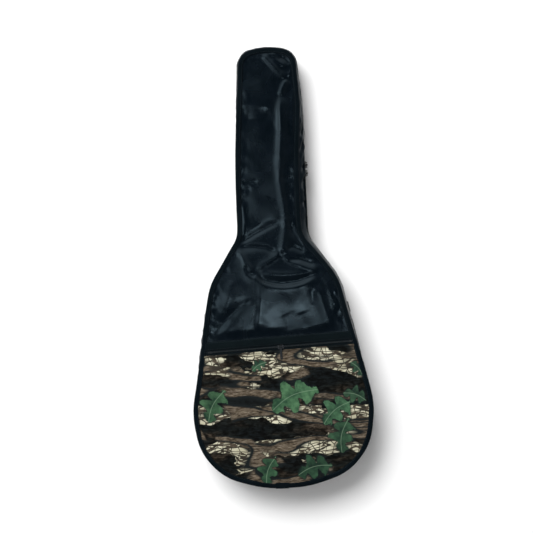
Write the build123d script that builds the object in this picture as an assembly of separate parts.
from build123d import *
import math
import os

# A padded gig bag for a full-size acoustic guitar, lying on its back.
# X is the width, +Y points from the tail to the head, Z is up, out of the front panel.
# The origin is under the middle of the bag, on the surface that it lies on.

# ---------------------------------------------------------------- driving sizes (mm)
# Outline
BODY_LENGTH = 593.0        # tail to the root of the neck
NECK_LENGTH = 457.0        # root of the neck to the end of the head
BOUT_WIDTH = 424.0         # widest place, at the lower bout
SHOULDER_WIDTH = 304.0     # where the sides turn in to the neck
NECK_WIDTH = 158.0
HEAD_WIDTH = 140.0
SHOULDER_RUN = 106.0       # length of the slope from shoulder to neck
TAIL_CURVE = (             # share of half the width, up from the tail, radius as such a share
    (0.236, 0.0, 1.180),
    (0.698, 30.0, 0.627),
    (0.948, 94.0, 0.618),
    (1.0, 164.0, 0.849),
)
WAIST_UP = 201.0           # where the widest place ends, up from the tail
HEAD_TAPER = 150.0         # length of the narrowing towards the head
HEAD_CROWN = 12.0          # rise of the head's rounded end
WAIST_RADIUS = 200.0
SHOULDER_RADIUS = 150.0
NECK_ROOT_RADIUS = 60.0
HEAD_TAPER_RADIUS = 900.0
HEAD_CORNER_RADIUS = 42.0
HEAD_CROWN_RADIUS = 150.0

# Depth
BODY_DEPTH = 110.0
NECK_DEPTH = 84.0
SLOPE_START = 135.0        # the front starts to fall this far before the neck's root
SLOPE_END = 35.0           # and is down this far past it
SLOPE_RADIUS = 400.0
STRAP_SPACE = 6.0          # room under the back panel for the straps that the bag lies on
BASE_HEIGHT = 58.0         # from the back panel's outside to the zip's centre line

# Cloth layers
SHELL = 0.8                # coated nylon
FOAM = 5.0
LINING = 0.6
BINDING = 1.0              # folded binding tape
BINDING_WIDTH = 11.0       # its flange over a panel
BINDING_SIDE = 6.0         # its turn down the gusset

# Main zip
PARTING = 0.3              # between the base's half and the lid's
TAPE = 0.6
TAPE_WIDTH = 14.0
TAPE_SHOWING = 10.0        # not covered by the gusset cloth
CHAIN_HALF = 3.2
CHAIN_OUT = 1.2            # how far the coil stands out of the outline
TAPE_SHORT = 1.0           # the tape ends this far short of the parting, under the coil
ZIP_STOP_LENGTH = 5.0
STOP_PROUD = 0.4           # a stop stands this much out of the coil

# Hinge strip, the stretch of gusset that the zip leaves closed
STRIP_LENGTH = 150.0
STRIP_MIDDLE_UP = 195.0    # up from the tail
STRIP_HEIGHT = 25.0
HINGE_OUT = 1.5            # axis outside the outline: binding and a clearance

# Slider and pull, the same pattern for both zips
GAP = 0.3                  # between pieces that move past each other
PLATE = 1.2
SLIDER_WALL = 1.8
SLIDER_CORNER = 2.4
SLIDER_END = 3.0           # walls and bail stop this far short of the plate's ends
BAIL_RADIUS = 0.8
EYE_BORE = 1.15
EYE_RADIUS = 2.1
EYE_WIDTH = 3.2
PULL_WIDTH = 5.4
PULL_THICK = 1.4
PULL_CORNER = 1.6
PULL_HOLE = 1.1
PULL_HOLE_IN = 5.5         # from the pull's tip to the hole for a cord
MAIN_SLIDER_LENGTH = 18.0
MAIN_PULL_LENGTH = 30.0
MAIN_SLIDER_UP = 160.0     # where the two sliders meet, up from the neck's root
SMALL_SLIDER_LENGTH = 14.0
SMALL_PULL_LENGTH = 30.0

# Pocket on the lower bout
POCKET_UP = 333.0          # the pocket's zip, up from the tail
POCKET_TILT = 2.0          # degrees that the zip is off square
POCKET_CLOTH = 1.0
POCKET_BACK = 0.6
POCKET_EDGE = 8.0          # zip centre line to the edge of the printed cloth
POCKET_TAPE = 11.0         # half of the zip's tape
POCKET_CHAIN = 2.3         # half of the coil's width
POCKET_CHAIN_THICK = 1.6
HEADER_FROM = 5.0
HEADER_TO = 24.0
HEADER_CLOTH = 0.8
POCKET_STOP = 4.0
POCKET_END = 6.0           # the coil's stops stay this far inside the binding

# Carry handle on the side of the upper body
HANDLE_SPAN = 150.0        # between the middles of its legs
HANDLE_DROP = 39.5
HANDLE_LEG = 25.0
HANDLE_WEB = 1.6
HANDLE_BAR = 16.0          # height of the webbing that the hand holds
HANDLE_CORNER = 18.0
HANDLE_INNER_CORNER = 8.0
HANDLE_BELOW_PARTING = 11.0
GRIP_LENGTH = 90.0
GRIP_OVER = 1.0            # the grip's sleeve is this much higher and lower than the webbing
GRIP_THICK = 4.4
GRIP_CORNER = 2.0
HANDLE_PATCH = (38.0, 27.0, 0.8)
SEWN_SHORT = 2.0           # the sewn webbing stops this far inside its patch

# Shoulder straps, flat under the back panel
STRAP_TOP_UP = 585.0       # up from the tail
STRAP_TOP_X = 38.0
STRAP_END_UP = 130.0
STRAP_END_X = 112.0
STRAP_PAD = (60.0, 285.0, 5.0)
STRAP_PAD_CORNER = 18.0
STRAP_WEB = 25.0
STRAP_WEB_THICK = 1.4
STRAP_WEB_Z = 2.2
STRAP_PATCH = (56.0, 44.0, 1.0)
STRAP_TOP_PATCH = (140.0, 46.0)
STRAP_FOLD = 20.0
ADJUSTER_AT = 45.0         # below the pad's end
ADJUSTER_BAR = 3.0
ADJUSTER_BAR_THICK = 1.5
ADJUSTER_HALF = 10.0
ADJUSTER_CORNER = 2.5

# Hang loop under the head
LOOP_TAPE = 8.0
LOOP_THICK = 1.4
LOOP_LENGTH = 60.0
LOOP_WIDTH = 32.0
LOOP_AXIS_IN = 20.0        # in from the head's end
LOOP_AXIS_Z = 1.0
LOOP_PATCH = (46.0, 36.0, 1.0)
LOOP_SEWN = 30.0           # length of its ends sewn to the patch

# ---------------------------------------------------------------- derived levels
LENGTH = BODY_LENGTH + NECK_LENGTH
TAIL = -LENGTH / 2
HEAD = LENGTH / 2
ROOT = TAIL + BODY_LENGTH
HALF = BOUT_WIDTH / 2
BACK = STRAP_SPACE
FRONT = BACK + BODY_DEPTH
NECK_FRONT = BACK + NECK_DEPTH
PART_Z = BACK + BASE_HEIGHT
WALL = SHELL + FOAM        # outline to the inside of the foam
REACH = LENGTH             # larger than the bag's half in any direction
OVER = 10.0                # how far a cutting shape runs past what it cuts
HINGE_X = -HALF - HINGE_OUT


def outline_face():
    """The bag's outline seen from the front: straight stretches joined by tangent arcs."""
    right = [
        *[(HALF * share, TAIL + up) for share, up, _ in TAIL_CURVE],
        (HALF, TAIL + WAIST_UP),
        (SHOULDER_WIDTH / 2, ROOT - SHOULDER_RUN),
        (NECK_WIDTH / 2, ROOT),
        (NECK_WIDTH / 2, HEAD - HEAD_TAPER),
        (HEAD_WIDTH / 2, HEAD - HEAD_CROWN),
    ]
    radii = [HALF * bend for _, _, bend in TAIL_CURVE]
    radii += [WAIST_RADIUS, SHOULDER_RADIUS, NECK_ROOT_RADIUS]
    radii += [HEAD_TAPER_RADIUS, HEAD_CORNER_RADIUS]
    left = [(-x, y) for x, y in reversed(right)]
    loop = [*right, (0, HEAD), *left]
    all_radii = [*radii, HEAD_CROWN_RADIUS, *reversed(radii)]
    return make_face(FilletPolyline(*loop, radius=all_radii, close=True).edges())


OUTLINE = outline_face()


def prism(out, low, high):
    """The outline, moved out or in by a distance, raised from one level to another."""
    face = offset(OUTLINE, out) if out else OUTLINE
    return Pos(0, 0, low) * extrude(face, high - low, dir=(0, 0, 1))


def ring(outer, inner, low, high):
    return prism(outer, low, high) - prism(inner, low - OVER, high + OVER)


def slab(x0, x1, y0, y1, z0, z1):
    size = (x1 - x0, y1 - y0, z1 - z0)
    return Pos((x0 + x1) / 2, (y0 + y1) / 2, (z0 + z1) / 2) * Box(*size)


def below_front(drop):
    """Everything under the front surface, or under a level that lies drop below it."""
    top = [
        (TAIL - OVER, FRONT - drop),
        (ROOT - SLOPE_START, FRONT - drop),
        (ROOT + SLOPE_END, NECK_FRONT - drop),
        (HEAD + OVER, NECK_FRONT - drop),
    ]
    curve = FilletPolyline(*top, radius=SLOPE_RADIUS)
    rest = Polyline(top[-1], (top[-1][0], BACK), (top[0][0], BACK), top[0])
    face = Plane.YZ * make_face([*curve.edges(), *rest.edges()])
    return extrude(face, REACH / 2, both=True)


def front_layer(out, upper, lower):
    """A sheet that follows the front surface, between two depths under it."""
    return (prism(out, PART_Z, FRONT + OVER) & below_front(upper)) - below_front(lower)


def front_ring(outer, inner, low, drop):
    """A wall of the lid, from a level up to a depth under the front surface."""
    return ring(outer, inner, low, FRONT + OVER) & below_front(drop)


def half_width(y):
    """The outline's half width at a distance along the bag."""
    cut = OUTLINE & Line((-REACH, y), (REACH, y))
    return cut.bounding_box().max.X


def save(name, shape, colour):
    """Writes one sub-part to its own file."""
    shape = shape if isinstance(shape, Compound) else Compound(shape.solids())
    shape.label = name
    shape.color = Color(colour)
    export_step(shape, f"parts/{name}.step")
    print(name, len(shape.solids()), round(shape.volume))


# ---------------------------------------------------------------- base: back and gusset
STRIP_LOW = TAIL + STRIP_MIDDLE_UP - STRIP_LENGTH / 2
STRIP_HIGH = TAIL + STRIP_MIDDLE_UP + STRIP_LENGTH / 2


def strip_zone(more=0.0):
    """The stretch of the left side that the zip leaves closed."""
    return slab(-REACH, 0, STRIP_LOW - more, STRIP_HIGH + more, 0, FRONT + OVER)


def base_shell():
    save("back_panel", prism(0, BACK, BACK + SHELL), 0x15171A)
    save("back_padding", prism(-SHELL, BACK + SHELL, BACK + WALL), 0x8F9296)
    save("back_lining", prism(-WALL, BACK + WALL, BACK + WALL + LINING), 0x3A3D42)
    seam = PART_Z - TAPE_SHOWING
    low = BACK + SHELL
    gusset = ring(0, -SHELL, low, seam)
    closed = ring(0, -SHELL, low, PART_Z - PARTING / 2) & strip_zone()
    save("base_gusset", gusset + closed, 0x15171A)
    foam_top = PART_Z - TAPE_WIDTH
    save("base_gusset_padding", ring(-SHELL, -WALL, BACK + WALL, foam_top), 0x8F9296)
    lining_low = BACK + WALL + LINING
    save("base_gusset_lining", ring(-WALL, -WALL - LINING, lining_low, foam_top), 0x3A3D42)
    flange = ring(BINDING, -BINDING_WIDTH, BACK - BINDING, BACK)
    side = ring(BINDING, 0, BACK, BACK + BINDING_SIDE)
    save("back_binding", flange + side, 0x0C0D0F)


def zip_half(low, high, chain_low, chain_high):
    """Tape and coil of one half of the main zip, open along the hinge strip."""
    tape = ring(-SHELL, -SHELL - TAPE, low, high) - strip_zone()
    coil = ring(CHAIN_OUT, -SHELL, chain_low, chain_high)
    return tape, coil - strip_zone(ZIP_STOP_LENGTH)


def main_zip():
    edge = PARTING / 2
    low, high = PART_Z - TAPE_WIDTH, PART_Z + TAPE_WIDTH
    tape, coil = zip_half(low, PART_Z - TAPE_SHORT, PART_Z - CHAIN_HALF, PART_Z - edge)
    save("main_zip_tape_base", tape, 0x101113)
    save("main_zip_coil_base", coil, 0x1B1C1F)
    tape, coil = zip_half(PART_Z + TAPE_SHORT, high, PART_Z + edge, PART_Z + CHAIN_HALF)
    save("main_zip_tape_lid", tape, 0x101113)
    save("main_zip_coil_lid", coil, 0x1B1C1F)
    stops = ring(CHAIN_OUT + STOP_PROUD, -SHELL, PART_Z - CHAIN_HALF, PART_Z - edge)
    save("main_zip_stops", (stops & strip_zone(ZIP_STOP_LENGTH)) - strip_zone(), 0x77797C)


def hinge_strip():
    """The reinforced stretch of gusset that the lid turns on, in a half for each side."""
    cover = ring(SHELL, 0, PART_Z - STRIP_HEIGHT, PART_Z + STRIP_HEIGHT) & strip_zone()
    lower = slab(-REACH, REACH, TAIL, HEAD, 0, PART_Z - PARTING / 2)
    upper = slab(-REACH, REACH, TAIL, HEAD, PART_Z + PARTING / 2, FRONT)
    save("hinge_strip_base", cover & lower, 0x0F1012)
    save("hinge_strip_lid", cover & upper, 0x0F1012)


# ---------------------------------------------------------------- lid: front and gusset
def lid_shell():
    save("front_panel", front_layer(0, 0, SHELL), 0x15171A)
    save("front_padding", front_layer(-SHELL, SHELL, WALL), 0x8F9296)
    save("front_lining", front_layer(-WALL, WALL, WALL + LINING), 0x3A3D42)
    seam = PART_Z + TAPE_SHOWING
    gusset = front_ring(0, -SHELL, seam, SHELL)
    closed = front_ring(0, -SHELL, PART_Z + PARTING / 2, SHELL) & strip_zone()
    save("lid_gusset", gusset + closed, 0x15171A)
    low = PART_Z + TAPE_WIDTH
    save("lid_gusset_padding", front_ring(-SHELL, -WALL, low, WALL), 0x8F9296)
    inner = -WALL - LINING
    save("lid_gusset_lining", front_ring(-WALL, inner, low, WALL + LINING), 0x3A3D42)
    edge = front_ring(BINDING, -BINDING_WIDTH, PART_Z, -BINDING)
    flange = edge - below_front(0)
    side = front_ring(BINDING, 0, PART_Z, 0) - below_front(BINDING_SIDE)
    save("front_binding", flange + side, 0x0C0D0F)


# ---------------------------------------------------------------- pocket
def pocket_frame():
    """The zip's own frame: X along the coil, Y across it towards the head, Z up."""
    return Pos(0, TAIL + POCKET_UP, FRONT) * Rot(0, 0, POCKET_TILT)


def band(low, high, z0, z1, reach=REACH):
    return pocket_frame() * slab(-reach / 2, reach / 2, low, high, z0, z1)


def inside_binding(shape):
    return shape & prism(-BINDING_WIDTH, FRONT, FRONT + OVER)


COIL_TOP = TAPE + POCKET_CHAIN_THICK
POCKET_HALF = half_width(TAIL + POCKET_UP) - BINDING_WIDTH - POCKET_END
COIL_HALF = POCKET_HALF - POCKET_STOP


def pocket():
    seam = PARTING / 2
    back = band(-REACH, -POCKET_TAPE, 0, POCKET_BACK)
    cloth = band(-REACH, -POCKET_EDGE, TAPE, TAPE + POCKET_CLOTH)
    lower = band(-POCKET_TAPE, -seam, 0, TAPE)
    upper = band(seam, POCKET_TAPE, 0, TAPE)
    header = band(HEADER_FROM, HEADER_TO, TAPE, TAPE + HEADER_CLOTH)
    header = header + band(POCKET_TAPE, HEADER_TO, 0, TAPE)
    save("pocket_backing", inside_binding(back), 0x2B2D30)
    save("pocket_panel", inside_binding(cloth), 0x5A4E3C)
    save("pocket_zip_tape_lower", inside_binding(lower), 0x101113)
    save("pocket_zip_tape_upper", inside_binding(upper), 0x101113)
    save("pocket_header", inside_binding(header), 0x15171A)
    coil = band(-POCKET_CHAIN, POCKET_CHAIN, TAPE, COIL_TOP, 2 * COIL_HALF)
    save("pocket_zip_coil", coil, 0x1B1C1F)
    stops = band(-POCKET_CHAIN, POCKET_CHAIN, TAPE, COIL_TOP + STOP_PROUD, 2 * POCKET_HALF)
    middle = band(-OVER, OVER, 0, COIL_TOP + OVER, 2 * COIL_HALF)
    save("pocket_zip_stops", stops - middle, 0x77797C)


# ---------------------------------------------------------------- sliders and pulls
def bail_height():
    """Centre of the bail's bar over the slider's plate."""
    return EYE_RADIUS + GAP


def slider(length, half_chain, chain_thick, walls):
    """A zip slider on a coil whose centre line is X and whose tape is the plane Z = 0."""
    wide = half_chain + GAP + SLIDER_WALL
    low = chain_thick + GAP
    top = low + PLATE
    reach = length / 2 - SLIDER_END
    body = slab(-length / 2, length / 2, -wide, wide, low, top)
    body = fillet(body.edges().filter_by(Axis.Z), SLIDER_CORNER)
    for side in walls:
        near, far = sorted((side * (half_chain + GAP), side * wide))
        body = body + slab(-reach, reach, near, far, GAP, low)
    bar_z = top + bail_height()
    post = BAIL_RADIUS
    for x in (-reach, reach):
        body = body + slab(x - post, x + post, -post, post, top - PLATE / 2, bar_z)
    bar = Rot(0, 90, 0) * Cylinder(BAIL_RADIUS, 2 * (reach + post))
    return body + Pos(0, 0, bar_z) * bar, bar_z


def pull(length):
    """A pull that hangs towards -Y from an eye on the X axis."""
    half_eye, half_thick = EYE_WIDTH / 2, PULL_THICK / 2
    eye = Rot(0, 90, 0) * Cylinder(EYE_RADIUS, EYE_WIDTH)
    tab = slab(-PULL_WIDTH / 2, PULL_WIDTH / 2, -length, -EYE_RADIUS, -half_thick, half_thick)
    tab = fillet(tab.edges().filter_by(Axis.Z), PULL_CORNER)
    neck = slab(-half_eye, half_eye, -EYE_RADIUS - PULL_CORNER, 0, -half_thick, half_thick)
    bore = Rot(0, 90, 0) * Cylinder(EYE_BORE, EYE_WIDTH + OVER)
    hole = Pos(0, PULL_HOLE_IN - length, 0) * Cylinder(PULL_HOLE, PULL_THICK + OVER)
    return eye + neck + tab - bore - hole


def pocket_slider():
    both = (-1, 1)
    body, bar_z = slider(SMALL_SLIDER_LENGTH, POCKET_CHAIN, POCKET_CHAIN_THICK, both)
    seat = pocket_frame() * Pos(0, 0, TAPE)
    save("pocket_zip_slider", seat * body, 0x3B3D40)
    drop = bar_z - POCKET_CLOTH - GAP - PULL_THICK / 2
    tilt = math.degrees(math.asin(drop / SMALL_PULL_LENGTH))
    hinge = seat * Pos(0, 0, bar_z)
    save("pocket_zip_pull", hinge * Rot(tilt, 0, 0) * pull(SMALL_PULL_LENGTH), 0x3B3D40)
    print("pocket pull axis at", hinge.position, "tilt", round(tilt, 2))
    print("pocket zip half travel", round(COIL_HALF - SMALL_SLIDER_LENGTH / 2, 1))


def main_sliders():
    """Two sliders that meet on the straight right side of the neck, pulls hanging down."""
    side = Plane((NECK_WIDTH / 2, 0, PART_Z), x_dir=(0, 1, 0), z_dir=(1, 0, 0))
    meet = ROOT + MAIN_SLIDER_UP
    below = (-1,)
    for name, way in (("upper", 1), ("lower", -1)):
        body, bar_z = slider(MAIN_SLIDER_LENGTH, CHAIN_HALF, CHAIN_OUT, below)
        seat = side.location * Pos(meet + way * (MAIN_SLIDER_LENGTH / 2 + 1), 0, 0)
        hinge = seat * Pos(0, 0, bar_z)
        save(f"main_zip_slider_{name}", seat * body, 0x3B3D40)
        save(f"main_zip_pull_{name}", hinge * pull(MAIN_PULL_LENGTH), 0x3B3D40)
        print("main pull axis", name, hinge.position)


# ---------------------------------------------------------------- carry handle
def handle_frame():
    """On the straight right side of the body: X up along the side, Y up, Z outward."""
    low = Vector(HALF, TAIL + WAIST_UP)
    high = Vector(SHOULDER_WIDTH / 2, ROOT - SHOULDER_RUN)
    along = (high - low).normalized()
    middle = low + (high - low) * 0.5
    spot = (middle.X, middle.Y, PART_Z - HANDLE_BELOW_PARTING)
    return Plane(spot, x_dir=(along.X, along.Y, 0), z_dir=(along.Y, -along.X, 0))


def round_low_corners(block, radius):
    """Rounds the two upright edges on a block's low Y side."""
    return fillet(block.edges().filter_by(Axis.Z).group_by(Axis.Y)[0], radius)


def handle_anchors(seat):
    """A patch and the webbing's sewn end for each leg, flat on the gusset."""
    long, tall, thick = HANDLE_PATCH
    patches = Part()
    ends = Part()
    for side in (-1, 1):
        u = side * HANDLE_SPAN / 2
        leg = HANDLE_LEG / 2
        patches += slab(u - long / 2, u + long / 2, -tall, 0, 0, thick)
        ends += slab(u - leg, u + leg, SEWN_SHORT - tall, 0, thick, thick + HANDLE_WEB)
    save("handle_patches", seat * patches, 0x0F1012)
    save("handle_sewn_ends", seat * ends, 0x0C0D0F)


def carry_handle():
    seat = handle_frame().location
    handle_anchors(seat)
    axis_out = HANDLE_PATCH[2] + HANDLE_WEB + GAP / 2
    low = axis_out + GAP / 2
    high = low + HANDLE_WEB
    wide = (HANDLE_SPAN + HANDLE_LEG) / 2
    inner = (HANDLE_SPAN - HANDLE_LEG) / 2
    bar_top = HANDLE_BAR - HANDLE_DROP
    loop = round_low_corners(slab(-wide, wide, -HANDLE_DROP, 0, low, high), HANDLE_CORNER)
    hole = slab(-inner, inner, bar_top, OVER, low - OVER, high + OVER)
    webbing = loop - round_low_corners(hole, HANDLE_INNER_CORNER)
    save("handle_webbing", seat * webbing, 0x0C0D0F)
    grip = Box(GRIP_LENGTH, HANDLE_BAR + 2 * GRIP_OVER, GRIP_THICK)
    grip = fillet(grip.edges().filter_by(Axis.X), GRIP_CORNER)
    grip = Pos(0, bar_top - HANDLE_BAR / 2, (low + high) / 2) * grip
    save("handle_grip", seat * (grip - webbing), 0x0F1012)
    print("handle axis at", (seat * Pos(0, 0, axis_out)).position, "along", handle_frame().x_dir)


# ---------------------------------------------------------------- hang loop
def hang_loop():
    y = HEAD - LOOP_AXIS_IN
    wide = LOOP_WIDTH / 2
    inner = wide - LOOP_TAPE
    low, high = LOOP_AXIS_Z - LOOP_THICK / 2, LOOP_AXIS_Z + LOOP_THICK / 2
    loop = round_low_corners(slab(-wide, wide, y - LOOP_LENGTH, y, low, high), wide - GAP)
    end = y - LOOP_LENGTH + LOOP_TAPE
    hole = slab(-inner, inner, end, y + OVER, low - OVER, high + OVER)
    save("hang_loop", loop - round_low_corners(hole, inner - GAP), 0x0C0D0F)
    long, tall, thick = LOOP_PATCH
    edge = y - GAP
    patch = slab(-long / 2, long / 2, edge - tall, edge, BACK - thick, BACK)
    for x in (-wide, inner):
        patch = patch + slab(x, x + LOOP_TAPE, edge - LOOP_SEWN, edge, high + GAP, BACK - thick)
    save("hang_loop_patch", patch, 0x0F1012)
    print("hang loop axis y", y)


# ---------------------------------------------------------------- shoulder straps
def strap_frame(side):
    """X along the strap towards the tail, Y across it, Z up, from the strap's top end."""
    start = Vector(side * STRAP_TOP_X, TAIL + STRAP_TOP_UP)
    end = Vector(side * STRAP_END_X, TAIL + STRAP_END_UP)
    along = (end - start).normalized()
    plane = Plane((start.X, start.Y, 0), x_dir=(along.X, along.Y, 0), z_dir=(0, 0, 1))
    return plane, (end - start).length


def adjuster(middle):
    """A three-bar slide: the webbing runs over its outer bars and under the middle one."""
    web_low = STRAP_WEB_Z - GAP
    web_high = STRAP_WEB_Z + STRAP_WEB_THICK + GAP
    low, high = web_low - ADJUSTER_BAR_THICK, web_high + ADJUSTER_BAR_THICK
    inner = STRAP_WEB / 2 + GAP
    rail = inner + ADJUSTER_BAR
    long = ADJUSTER_HALF
    window = long - ADJUSTER_BAR
    frame = slab(-long, long, -rail, rail, low, high)
    frame = fillet(frame.edges().filter_by(Axis.Z), ADJUSTER_CORNER)
    frame = frame - slab(-long - OVER, long + OVER, -inner, inner, web_low, web_high)
    frame = frame - slab(-window, window, -inner, inner, low - OVER, web_high)
    for way in (-1, 1):
        x0, x1 = sorted((way * ADJUSTER_BAR / 2, way * (long + OVER)))
        frame = frame - slab(x0, x1, -inner, inner, web_low, high + OVER)
    return Pos(middle, 0, 0) * frame


def shoulder_strap(name, side):
    plane, run = strap_frame(side)
    seat = plane.location
    wide, long, thick = STRAP_PAD
    pad = slab(0, long, -wide / 2, wide / 2, 0, thick)
    pad = fillet(pad.edges().filter_by(Axis.Z), STRAP_PAD_CORNER)
    save(f"{name}_strap_pad", seat * pad, 0x121316)
    half = STRAP_WEB / 2
    p_long, p_wide, p_thick = STRAP_PATCH
    web = slab(long, run, -half, half, STRAP_WEB_Z, STRAP_WEB_Z + STRAP_WEB_THICK)
    fold = slab(run - STRAP_FOLD, run, -half, half, 0, BACK - p_thick)
    save(f"{name}_strap_webbing", seat * (web + fold), 0x0C0D0F)
    mid = run - STRAP_FOLD / 2
    near, far = mid - p_long / 2, mid + p_long / 2
    patch = slab(near, far, -p_wide / 2, p_wide / 2, BACK - p_thick, BACK)
    save(f"{name}_strap_anchor", seat * patch, 0x0F1012)
    middle = long + ADJUSTER_AT
    save(f"{name}_strap_adjuster", seat * adjuster(middle), 0x141517)
    print(name, "strap direction", plane.x_dir, "run", round(run, 1))
    print("adjuster has room above", middle - ADJUSTER_HALF - long)
    print("and below", round(near - middle - ADJUSTER_HALF, 1))


def strap_top():
    long, tall = STRAP_TOP_PATCH
    y = TAIL + STRAP_TOP_UP
    patch = slab(-long / 2, long / 2, y - tall, y, STRAP_PAD[2], BACK)
    save("strap_top_anchor", patch, 0x0F1012)


os.makedirs("parts", exist_ok=True)
base_shell()
main_zip()
hinge_strip()
lid_shell()
pocket()
pocket_slider()
main_sliders()
carry_handle()
hang_loop()
for strap_name, strap_side in (("left", -1), ("right", 1)):
    shoulder_strap(strap_name, strap_side)
strap_top()
